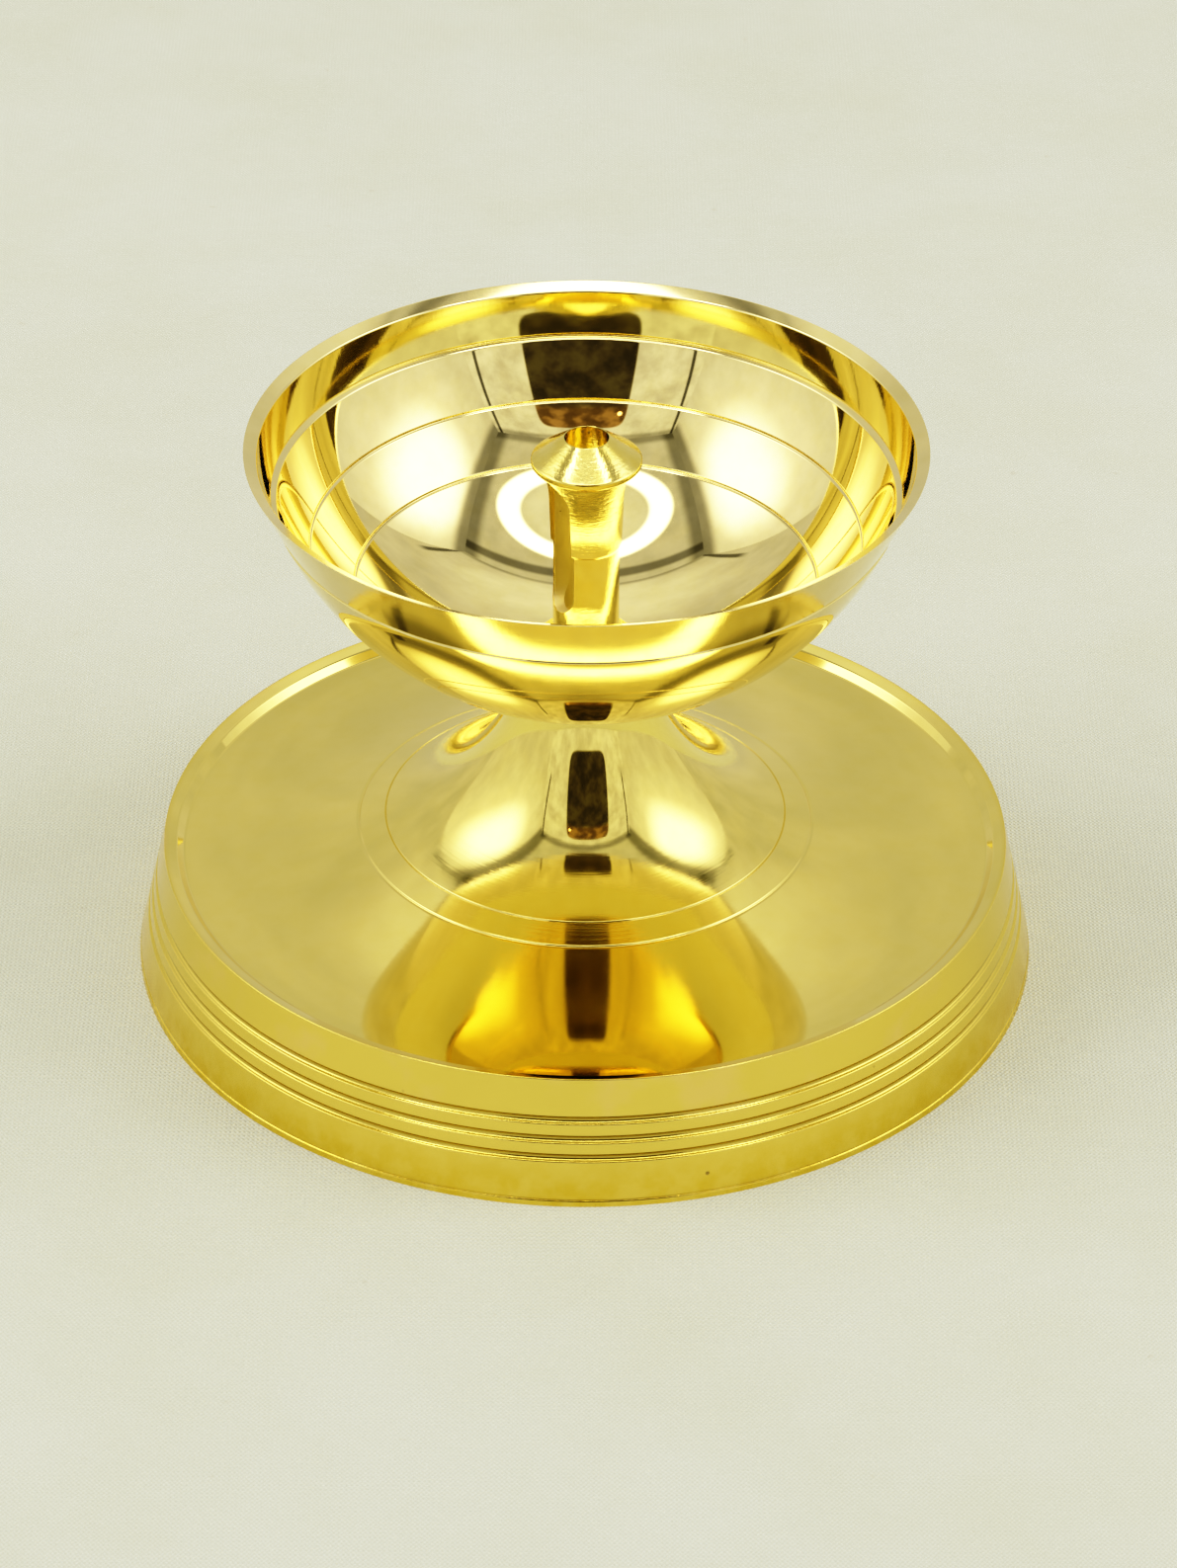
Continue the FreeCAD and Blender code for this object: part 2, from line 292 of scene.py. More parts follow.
def scribed(centre, radius, begin, finish, lines):
    """Arc with a fine V line at each angle, cut away from the circle's centre."""
    half = SCRIBE_HALF_WIDTH / radius
    way = 1 if finish > begin else -1
    runs = []
    angle = begin
    for line in lines:
        arc = Arc(centre, radius, angle, line - way * half)
        after = Arc(centre, radius, line + way * half, finish)
        deep = Vector(centre) + Vector((math.cos(line), math.sin(line))) * (radius + SCRIBE_DEPTH)
        runs += [arc, Line(arc.end, deep), Line(deep, after.start)]
        angle = line + way * half
    return runs + [Arc(centre, radius, angle, finish)]


def dish_arc():
    """Centre and radius of the dish's shallow arc, from its edge up to the start of the stem."""
    run = DISH_EDGE_RADIUS - FLARE_START_RADIUS
    rise = FLARE_START_Z - DISH_EDGE_Z
    half_turn = FLARE_SLOPE - math.atan2(rise, run)
    radius = math.hypot(run, rise) / (2 * math.sin(half_turn))
    centre = Vector((
        FLARE_START_RADIUS + radius * math.sin(FLARE_SLOPE),
        FLARE_START_Z + radius * math.cos(FLARE_SLOPE),
    ))
    return centre, radius


def angle_of(centre, point):
    return math.atan2(point[1] - centre[1], point[0] - centre[0])


def base_runs():
    """Closed half section of the base, starting at the foot's outer edge and going up the side."""
    side = [(side_radius(0), 0)]
    line_z = FOOT_BEAD + SCRIBE_DEPTH
    side.append((side_radius(FOOT_BEAD), FOOT_BEAD))
    side.append((side_radius(line_z) - SCRIBE_DEPTH, line_z))
    side.append((side_radius(line_z + SCRIBE_DEPTH), line_z + SCRIBE_DEPTH))
    runs = polyline(side)
    here = side[-1]
    for z in SIDE_GROOVES:
        low = (side_radius(z - GROOVE_HALF_WIDTH), z - GROOVE_HALF_WIDTH)
        high = (side_radius(z + GROOVE_HALF_WIDTH), z + GROOVE_HALF_WIDTH)
        runs.append(Line(here, low))
        runs.append(arc_through(low, (side_radius(z) - GROOVE_DEPTH, z), high))
        here = high
    lip_inner = (LIP_OUTER_RADIUS - LIP_WIDTH, SIDE_HEIGHT - LIP_DROP)
    centre, radius = dish_arc()
    edge = (DISH_EDGE_RADIUS, DISH_EDGE_Z)
    runs += polyline([here, (LIP_OUTER_RADIUS, SIDE_HEIGHT), lip_inner, edge])
    ring = -math.pi + math.acos((centre.x - DISH_RINGS[0]) / radius)
    dish = scribed(centre, radius, angle_of(centre, edge), -math.pi / 2 - FLARE_SLOPE, [ring])
    runs += dish
    half = SCRIBE_HALF_WIDTH
    flare_centre = Vector((
        FLARE_START_RADIUS - half + FLARE_ARC * math.sin(FLARE_SLOPE),
        FLARE_START_Z + half * math.tan(FLARE_SLOPE) + FLARE_ARC * math.cos(FLARE_SLOPE),
    ))
    neck_low = NECK_TOP_Z - 2 * EDGE
    flare_end = -math.pi + math.asin((flare_centre.y - neck_low) / FLARE_ARC)
    flare = Arc(flare_centre, FLARE_ARC, -math.pi / 2 - FLARE_SLOPE, flare_end)
    deep = (DISH_RINGS[1] - half / 2, FLARE_START_Z - SCRIBE_DEPTH)
    runs += polyline([dish[-1].end, deep, flare.start])
    runs.append(flare)

    bore_low = NECK_TOP_Z - STEM_BORE_DEPTH
    runs += polyline([
        flare.end,
        (NECK_RADIUS - EDGE, NECK_TOP_Z),
        (THREAD_RADIUS, NECK_TOP_Z),
        (THREAD_RADIUS, bore_low),
        (0, bore_low - THREAD_RADIUS / math.sqrt(3)),
    ])
    return runs


def hollow_runs():
    """Half section of the base's underside, from the axis out to the foot's inner edge."""
    centre, radius = dish_arc()
    rim = (FOOT_RADIUS - FOOT_WIDTH - BASE_WALL, DISH_EDGE_Z - BASE_WALL)
    under = (FLARE_START_RADIUS, FLARE_START_Z - BASE_WALL)
    middle_r = (rim[0] + under[0]) / 2
    middle_z = centre.y - math.sqrt(radius ** 2 - (centre.x - middle_r) ** 2) - BASE_WALL
    inner_foot = (FOOT_RADIUS - FOOT_WIDTH, 0)
    return [
        Line((0, HOLLOW_TOP_Z), (HOLLOW_TOP_RADIUS, HOLLOW_TOP_Z)),
        arc_through((HOLLOW_TOP_RADIUS, HOLLOW_TOP_Z), HOLLOW_MIDDLE, under),
        arc_through(under, (middle_r, middle_z), rim),
        Line(rim, inner_foot),
        Line(inner_foot, (side_radius(0), 0)),
    ]


def make_base():
    upper = section(base_runs())
    lower = section(hollow_runs(), step=1.0, rounding=HOLLOW_ROUNDING)
    return spin("pedestal_base_turned", upper + lower, SPINS, closed=True)


def make_bowl():
    """Bowl from its foot up the belly, band and rim, then down the scribed inside to the floor."""
    foot_z = BOWL_LOW.z
    floor = HOLDER_WASHER[0].z
    hole = THREAD_RADIUS + HOLE_CLEARANCE
    belly_centre = Vector((0, BELLY_CENTRE_Z))
    belly_foot_z = BELLY_CENTRE_Z - math.sqrt(BELLY_RADIUS ** 2 - BOWL_FOOT_RADIUS ** 2)
    belly_foot = (BOWL_FOOT_RADIUS, belly_foot_z)
    belly_top_z = BAND_LOW_Z - BAND_STEP
    belly_top = (math.sqrt(BELLY_RADIUS ** 2 - (BELLY_CENTRE_Z - belly_top_z) ** 2), belly_top_z)

    def inner_angle(z):
        return -math.asin((BOWL_CENTRE_Z - z) / BOWL_INNER_RADIUS)

    rim_inner = (RIM_RADIUS - RIM_WIDTH, RIM_Z - RIM_DROP)
    rim_middle = (RIM_RADIUS - RIM_WIDTH / 2, RIM_Z - RIM_DROP * RIM_BEND)
    band_line = BOWL_LINES[0]
    inside = scribed(
        Vector((0, BOWL_CENTRE_Z)), BOWL_INNER_RADIUS, inner_angle(band_line - SCRIBE_HALF_WIDTH),
        inner_angle(floor), [inner_angle(z) for z in BOWL_LINES[1:]],
    )
    runs = polyline([(hole, foot_z), (BOWL_FOOT_RADIUS, foot_z), belly_foot])
    runs.append(Arc(
        belly_centre, BELLY_RADIUS,
        angle_of(belly_centre, belly_foot), angle_of(belly_centre, belly_top),
    ))
    runs += polyline([belly_top, (BAND_LOW_RADIUS, BAND_LOW_Z), (RIM_RADIUS, RIM_Z)])
    runs.append(arc_through((RIM_RADIUS, RIM_Z), rim_middle, rim_inner))
    band_foot = (INNER_BAND_RADIUS, band_line + SCRIBE_HALF_WIDTH)
    band_middle = (
        (rim_inner[0] + band_foot[0]) / 2 + INNER_BAND_CURVE,
        (rim_inner[1] + band_foot[1]) / 2,
    )
    runs.append(arc_through(rim_inner, band_middle, band_foot))
    line_deep = (INNER_BAND_RADIUS + 0.75 * SCRIBE_DEPTH, band_line)
    runs += polyline([band_foot, line_deep, inside[0].start])
    runs += inside
    runs += polyline([inside[-1].end, (hole, floor), (hole, foot_z)])
    return spin("oil_bowl_turned", section(runs, closed=True), SPINS, closed=True)


def make_washer(name, corners):
    low, high = corners
    hole = THREAD_RADIUS + HOLE_CLEARANCE
    ring = [(hole, low.z), (high.x, low.z), (high.x, high.z), (hole, high.z), (hole, low.z)]
    return spin(name, section(polyline(ring), closed=True), SPINS // 2, closed=True)


def make_holder():
    """Tube, cap, shoulder and threaded spigot as one lathe mesh, with the oil window cut through."""
    shoulder_z = HOLDER_WASHER[1].z
    tip_z = HOLDER_LOW.z
    crest = THREAD_RADIUS - SPIGOT_CLEARANCE
    tube_z = shoulder_z + SHOULDER_HEIGHT
    ledge = COLLAR_RADIUS - TUBE_RADIUS
    edge_top = CAP_EDGE_Z + CAP_EDGE_THICKNESS
    outline = polyline([
        (0, tip_z), (crest - 2 * EDGE, tip_z), (crest, tip_z + 2 * EDGE), (crest, shoulder_z),
        (SHOULDER_RADIUS, shoulder_z), (SHOULDER_RADIUS, tube_z), (TUBE_RADIUS, tube_z),
        (TUBE_RADIUS, TUBE_STEP_Z), (COLLAR_RADIUS, TUBE_STEP_Z + ledge),
        (FLARE_LOW_RADIUS, FLARE_LOW_Z),
    ])
    flare_top = (FLARE_HIGH_RADIUS, FLARE_HIGH_Z)
    flare_middle = (FLARE_LOW_RADIUS + FLARE_BULGE, (FLARE_LOW_Z + FLARE_HIGH_Z) / 2)
    outline.append(arc_through((FLARE_LOW_RADIUS, FLARE_LOW_Z), flare_middle, flare_top))
    outline += polyline([
        flare_top, (CAP_RADIUS, CAP_EDGE_Z), (CAP_RADIUS, edge_top),
        (WICK_BORE_RADIUS, CAP_TOP_Z), (WICK_BORE_RADIUS, WICK_BORE_FLOOR_Z),
        (0, WICK_BORE_FLOOR_Z - WICK_BORE_RADIUS / math.sqrt(3)),
    ])
    points = section(outline, step=THREAD_PITCH / THREAD_STEPS)
    thread = helix(crest, tip_z + 2 * EDGE, shoulder_z - THREAD_RUNOUT)
    holder = spin("wick_holder_turned", points, HOLDER_SPINS, closed=False, thread=thread)
    cut_window(holder)
    return holder


def cut_window(holder):
    """Round-ended slot through one side of the tube, as a boolean cut that is applied."""
    half = WINDOW_WIDTH / 2
    ring = []
    for start, middle_z in ((0, WINDOW_HIGH_Z - half), (math.pi, WINDOW_LOW_Z + half)):
        for k in range(WINDOW_STEPS + 1):
            turn = start + math.pi * k / WINDOW_STEPS
            ring.append((half * math.cos(turn), middle_z + half * math.sin(turn)))
    build = bmesh.new()
    inner = [build.verts.new(Vector((0, y, z)) * MM) for y, z in ring]
    outer = [build.verts.new(Vector((2 * CAP_RADIUS, y, z)) * MM) for y, z in ring]
    build.faces.new(inner)
    build.faces.new(list(reversed(outer)))
    for k in range(len(ring)):
        j = (k + 1) % len(ring)
        build.faces.new([inner[j], inner[k], outer[k], outer[j]])
    bmesh.ops.recalc_face_normals(build, faces=build.faces)
    build.transform(Matrix.Rotation(WINDOW_TURN, 4, "Z"))
    mesh = bpy.data.meshes.new("window_cutter")
    build.to_mesh(mesh)
    build.free()
    cutter = add_object("window_cutter", mesh)
    cut = holder.modifiers.new("window", "BOOLEAN")
    cut.operation = "DIFFERENCE"
    cut.solver = "EXACT"
    cut.object = cutter
    bpy.context.view_layer.update()
    cut_holder = holder.evaluated_get(bpy.context.evaluated_depsgraph_get())
    shape = bpy.data.meshes.new_from_object(cut_holder)
    holder.modifiers.clear()
    holder.data = shape
    holder.data.shade_smooth()
    holder.data.set_sharp_from_angle(angle=HOLDER_SHARP)
    bpy.data.objects.remove(cutter)


# ---------------------------------------------------------------- materials

class Graph:
    """Short way to write a node material."""

    def __init__(self, name):
        self.material = bpy.data.materials.new(name)
        self.material.use_nodes = True
        self.tree = self.material.node_tree
        self.tree.nodes.clear()

    def node(self, kind, **settings):
        made = self.tree.nodes.new("ShaderNode" + kind)
        for key, value in settings.items():
            setattr(made, key, value)
        return made

    def feed(self, socket, value):
        if isinstance(value, bpy.types.NodeSocket):
            self.tree.links.new(value, socket)
        else:
            socket.default_value = value

    def math(self, operation, a, b=0.0):
        made = self.node("Math", operation=operation)
        self.feed(made.inputs[0], a)
        self.feed(made.inputs[1], b)
        return made.outputs[0]

    def ramp(self, value, low, high, to_low=0.0, to_high=1.0):
        made = self.node("MapRange", interpolation_type="SMOOTHSTEP")
        self.feed(made.inputs[0], value)
        for socket, number in zip(made.inputs[1:5], (low, high, to_low, to_high)):
            self.feed(socket, number)
        return made.outputs[0]

    def noise(self, vector, scale, detail=2.0, rough=0.5):
        made = self.node("TexNoise")
        self.feed(made.inputs["Vector"], vector)
        made.inputs["Scale"].default_value = scale
        made.inputs["Detail"].default_value = detail
        made.inputs["Roughness"].default_value = rough
        return made.outputs["Fac"]

    def combine(self, x, y, z):
        made = self.node("CombineXYZ")
        for socket, value in zip(made.inputs, (x, y, z)):
            self.feed(socket, value)
        return made.outputs[0]

    def mix(self, factor, a, b):
        made = self.node("Mix", data_type="RGBA")
        self.feed(made.inputs[0], factor)
        self.feed(made.inputs[6], a)
        self.feed(made.inputs[7], b)
        return made.outputs[2]

    def surface(self, shader):
        """Joins the shader to the output and gives the finished material."""
        out = self.node("OutputMaterial")
        self.feed(out.inputs[0], shader.outputs[0])
        return self.material


def lathe_coordinates(g):
    """Millimetre coordinates on a turned piece: radius, height, angle in radians, and position."""
    place = g.node("TexCoord").outputs["Object"]
    scaled = g.node("VectorMath", operation="SCALE")
    g.feed(scaled.inputs[0], place)
    scaled.inputs["Scale"].default_value = 1 / MM
    split = g.node("SeparateXYZ")
    g.feed(split.inputs[0], scaled.outputs[0])
    x, y, z = split.outputs
    squares = g.math("ADD", g.math("MULTIPLY", x, x), g.math("MULTIPLY", y, y))
    radius = g.math("SQRT", squares)
    angle = g.math("ARCTAN2", y, x)
    return radius, z, angle, scaled.outputs[0]


def between(g, value, low, high, soft):
    """1 between low and high, 0 outside, with soft ends."""
    above = g.ramp(value, low - soft, low + soft)
    below = g.ramp(value, high - soft, high + soft, 1, 0)
    return g.math("MULTIPLY", above, below)


QUARTER_TURN = 0.25           # turns the wider blur from along the marks to across them


class Brass:
    """Brass off a lathe, with marks that run round the axis. Heights are micrometres, lengths mm."""

    def __init__(self, name, colour, tint, slope):
        g = self.g = Graph(name)
        self.radius, self.z, self.angle, self.place = lathe_coordinates(g)
        self.along = g.math("ADD", self.radius, g.math("MULTIPLY", self.z, slope))
        self.smudge = g.noise(self.place, 0.45, 4.0, 0.6)
        self.height = 0.0
        self.roughness = 0.0
        self.anisotropy = 0.0
        self.shade = g.mix(g.ramp(self.smudge, 0.35, 0.75), (*colour, 1.0), (*tint, 1.0))

    def raise_by(self, pattern, depth):
        g = self.g
        self.height = g.math("ADD", self.height, g.math("MULTIPLY", pattern, depth))

    def feed_marks(self, feed, depth, mask=1.0):
        """Fine rings that the tool leaves, one every feed mm."""
        g = self.g
        slow_turn = g.math("MULTIPLY", self.angle, 0.6)
        coarse = g.noise(g.combine(self.along, slow_turn, 0.0), 1 / feed, 3.0, 0.7)
        close = g.math("MULTIPLY", self.along, 6.0)
        fine = g.noise(g.combine(close, slow_turn, 3.0), 1 / feed, 2.0, 0.6)
        marks = g.math("ADD", coarse, g.math("MULTIPLY", fine, 0.35))
        self.raise_by(g.math("MULTIPLY", marks, mask), depth)

    def waves(self, scale, depth):
        """Slow unevenness of hand polishing."""
        self.raise_by(self.g.noise(self.place, scale, 2.0, 0.5), depth)

    def chatter(self, per_turn, mask, depth):
        """Short ribs across the turning marks, where the tool shook."""
        g = self.g
        turns = g.math("MULTIPLY", self.angle, per_turn / (2 * math.pi))
        ribs = g.noise(g.combine(turns, g.math("MULTIPLY", self.z, 0.25), 0.0), 1.0, 2.0, 0.7)
        self.raise_by(g.math("MULTIPLY", ribs, mask), depth)

    def pits(self, density, size, depth, mask=1.0):
        """Scattered small casting pits, darker and rougher than the metal round them."""
        g = self.g
        cells = g.node("TexVoronoi", feature="F1")
        g.feed(cells.inputs["Vector"], self.place)
        cells.inputs["Scale"].default_value = density
        reach = g.math("MULTIPLY", g.ramp(g.noise(self.place, 0.3, 2.0), 0.5, 0.75), size)
        hole = g.ramp(g.math("SUBTRACT", cells.outputs["Distance"], reach), -0.05, 0.0, 1.0, 0.0)
        hole = g.math("MULTIPLY", hole, mask)
        self.raise_by(hole, -depth)
        self.roughness = g.math("ADD", self.roughness, g.math("MULTIPLY", hole, 0.3))
        self.shade = g.mix(hole, self.shade, (*PIT_BROWN, 1.0))

    def rough(self, value, spread=0.0, mask=1.0):
        g = self.g
        worn = g.math("ADD", g.math("MULTIPLY", self.smudge, spread), value - spread / 2)
        self.roughness = g.math("ADD", self.roughness, g.math("MULTIPLY", worn, mask))

    def brushed(self, amount, mask=1.0):
        """Wider blur across the turning marks than along them."""
        g = self.g
        self.anisotropy = g.math("ADD", self.anisotropy, g.math("MULTIPLY", amount, mask))

    def facing_in(self):
        """1 where the surface faces the axis, as inside a bowl. The limits are mm towards the axis."""
        g = self.g
        facing = g.node("VectorMath", operation="DOT_PRODUCT")
        g.feed(facing.inputs[0], g.node("TexCoord").outputs["Normal"])
        g.feed(facing.inputs[1], self.place)
        return g.ramp(facing.outputs["Value"], -8.0, -2.0, 1.0, 0.0)

    def tinted(self, colour, mask):
        self.shade = self.g.mix(mask, self.shade, (*colour, 1.0))

    def finish(self):
        g = self.g
        bump = g.node("Bump")
        bump.inputs["Strength"].default_value = 1.0
        bump.inputs["Distance"].default_value = MICROMETRE
        g.feed(bump.inputs["Height"], self.height)
        shader = g.node("BsdfPrincipled")
        shader.inputs["Metallic"].default_value = 1.0
        shader.inputs["Anisotropic Rotation"].default_value = QUARTER_TURN
        g.feed(shader.inputs["Anisotropic"], self.anisotropy)
        g.feed(shader.inputs["Roughness"], self.roughness)
        g.feed(shader.inputs["Base Color"], self.shade)
        g.feed(shader.inputs["Normal"], bump.outputs[0])
        tangent = g.node("Tangent", direction_type="RADIAL", axis="Z")
        g.feed(shader.inputs["Tangent"], tangent.outputs[0])
        return g.surface(shader)


# Colours of the metal: pale where it is polished, deeper where it is rough, darker low on the base's
# side; one is painted shade for the side's grooves and one painted light for the wick bore.
BRASS = (0.925, 0.785, 0.370)
BRASS_WARM = (0.915, 0.765, 0.330)
BRASS_DISH = (0.895, 0.735, 0.235)
BRASS_DEEP = (0.865, 0.680, 0.165)
BRASS_DULL = (0.62, 0.45, 0.14)
# painted light: a paler colour that makes the inside of the wick bore look lit
PAINTED_BORE_LIGHT = (0.975, 0.87, 0.45)
# darker colour for the low part of the base's side
BRASS_DARKER_LOW = (0.76, 0.54, 0.07)
BRASS_ROSE = (0.90, 0.68, 0.26)
BRASS_SATIN = (0.888, 0.722, 0.215)
# painted shade for the dark line in each groove of the base's side
PAINTED_GROOVE_SHADE = (0.30, 0.20, 0.03)
PIT_BROWN = (0.42, 0.30, 0.08)


def polished_brass():
    """Mirror polish, except for the brushed band and lip at the rim."""
    metal = Brass("polished_brass", BRASS, BRASS_WARM, slope=1.0)
    g = metal.g
    band = g.ramp(metal.z, BAND_LOW_Z + 0.2, BAND_LOW_Z + 1.1)
    top = between(g, metal.z, RIM_Z - 2.4, RIM_Z - 0.5, 0.3)
    lip = g.ramp(metal.z, RIM_Z - RIM_DROP - 0.1, RIM_Z - RIM_DROP + 0.05)
    metal.rough(0.03, 0.02)
    metal.rough(0.025, 0.02, band)
    metal.rough(0.02, 0.02, lip)
    metal.tinted(BRASS_DISH, g.math("MULTIPLY", band, metal.facing_in()))
    metal.brushed(0.85, band)
    metal.feed_marks(0.3, 0.08)
    metal.feed_marks(0.18, 0.6, band)
    metal.waves(0.16, 1.2)
    metal.chatter(per_turn=420, mask=top, depth=2.5)
    return metal.finish()


def satin_brass():
    """Turned and lightly buffed: rings on the dish; deeper colour and pits on the side, darker towards
    its foot, with painted shade in its grooves.
    """
    metal = Brass("satin_brass", BRASS_DISH, BRASS_SATIN, slope=-1.0)
    g = metal.g
    side = g.ramp(metal.radius, LIP_OUTER_RADIUS - 0.6, LIP_OUTER_RADIUS + 0.1)
    dish = between(g, metal.radius, *DISH_TURNED, 3.0)
    metal.rough(0.045, 0.02)
    metal.rough(0.025, 0.03, dish)
    metal.rough(0.10, 0.05, side)
    metal.brushed(0.9, dish)
    metal.brushed(0.5, side)
    metal.feed_marks(DISH_FEED, 0.3)
    metal.feed_marks(DISH_FEED, 2.2, dish)
    metal.feed_marks(0.8, 3.0, dish)
    metal.waves(0.16, 1.5)
    metal.tinted(BRASS_DEEP, side)
    # the base's side gets darker towards its foot, in blotches
    low = g.math("MULTIPLY", side, g.ramp(metal.z, 6.0, 1.0))
    metal.tinted(BRASS_DARKER_LOW, g.math("MULTIPLY", low, g.ramp(metal.smudge, 0.3, 0.7, 0.25, 0.9)))
    blotches = g.ramp(g.noise(metal.place, 0.14, 3.0, 0.6), 0.5, 0.7, 0.0, 0.6)
    high = g.math("MULTIPLY", side, g.ramp(metal.z, 7.0, 10.0))
    metal.tinted(BRASS_ROSE, g.math("MULTIPLY", high, blotches))
    metal.raise_by(g.noise(metal.place, 2.6, 3.0, 0.6), g.math("MULTIPLY", side, 7.0))
    metal.raise_by(g.noise(metal.place, 3.2, 2.0, 0.5), g.math("MULTIPLY", low, 22.0))
    # painted shade: each groove of the side is darkened to draw its dark line
    for z in SIDE_GROOVES:
        groove = between(g, metal.z, z - 0.16, z + 0.12, 0.12)
        metal.tinted(PAINTED_GROOVE_SHADE, g.math("MULTIPLY", g.math("MULTIPLY", side, groove), 0.55))
    metal.pits(0.28, 0.10, 6.0, side)
    return metal.finish()


def coarse_brass():
    """Coarse turning marks all over, shaken on the flare, with a rough wick bore coloured paler as
    painted light.
    """
    metal = Brass("turned_brass", BRASS_DISH, BRASS_DEEP, slope=1.0)
    g = metal.g
    inner = g.ramp(metal.radius, TUBE_RADIUS - 0.05, TUBE_RADIUS - 0.2)
    deep = between(g, metal.z, HOLDER_WASHER[1].z, WINDOW_HIGH_Z - 0.6, 0.3)
    bore = g.math("MULTIPLY", inner, deep)
    flare = between(g, metal.z, TUBE_STEP_Z + 2.5, CAP_EDGE_Z - 0.8, 1.0)
    metal.rough(0.15, 0.06)
    metal.rough(0.35, 0.1, bore)
    # painted light: the wick bore is coloured paler so that it looks lit through the window
    metal.tinted(PAINTED_BORE_LIGHT, bore)
    metal.brushed(0.6)
    metal.feed_marks(0.3, 24.0)
    metal.feed_marks(0.45, 60.0, flare)
    metal.chatter(per_turn=110, mask=flare, depth=25.0)
    metal.waves(0.5, 8.0)
    metal.waves(2.5, 14.0)
    metal.waves(1.4, g.math("MULTIPLY", bore, 60.0))
    metal.pits(0.9, 0.2, 6.0)
    return metal.finish()


def washer_brass():
    """Plain stamped washer, dull from oil."""
    metal = Brass("washer_brass", BRASS_DULL, BRASS_WARM, slope=1.0)
    metal.rough(0.38, 0.15)
    metal.feed_marks(0.12, 2.0)
    metal.waves(1.2, 3.0)
    return metal.finish()


# ---------------------------------------------------------------- surroundings

# Places in the tent are metres before it is grown TENT_GROWTH times about TENT_MIDDLE.
TENT_LEFT, TENT_RIGHT = -0.26, 0.27
TENT_FRONT, TENT_BACK = -0.255, 0.17
TENT_FLOOR, TENT_TOP = 0.002, 0.45
TENT_GROWTH = 1.6
TENT_MIDDLE = Vector((0, 0, 0.045))
CLOTH_GLOW = 0.72
BACK_GLOW = 0.86 * CLOTH_GLOW
FRONT_GLOW = 1.12 * CLOTH_GLOW
TOP_GLOW = 0.85 * CLOTH_GLOW
CLOTH_WHITE = (1.0, 0.99, 0.955, 1.0)
SIDE_LAMP_SHIFT = -0.005      # across each side wall
LAMP_GLOW = 2.0
HALO_HEIGHT = 0.28
HALO_RADII = (0.30, 0.26)
HALO_GLOW = 0.55
RING_CENTRE = (0.004, -0.042)
RING_RADII = (0.174, 0.118)
RING_HALF_WIDTH = 0.15        # as a share of the radii
RING_GLOW = 6.5
SEAM_WIDTH = 0.007
BACK_SEAM_LOW = 0.26
FRONT_SEAM_LOW = 0.13
OPENING_CENTRE = (0.013, 0.232)
OPENING_HALF_SIZES = (0.107, 0.165)
OPENING_BAND = (0.30, 0.33)   # heights between which the room turns from dark to brown
ROOM_DARK = (1.0, 0.86, 0.55, 1.0)
ROOM_BROWN = (1.0, 0.62, 0.3, 1.0)
SPARK_CENTRE = (-0.076, 0.340)
SPARK_RADII = (0.007, 0.009)
SPARK_GLOW = 5.0


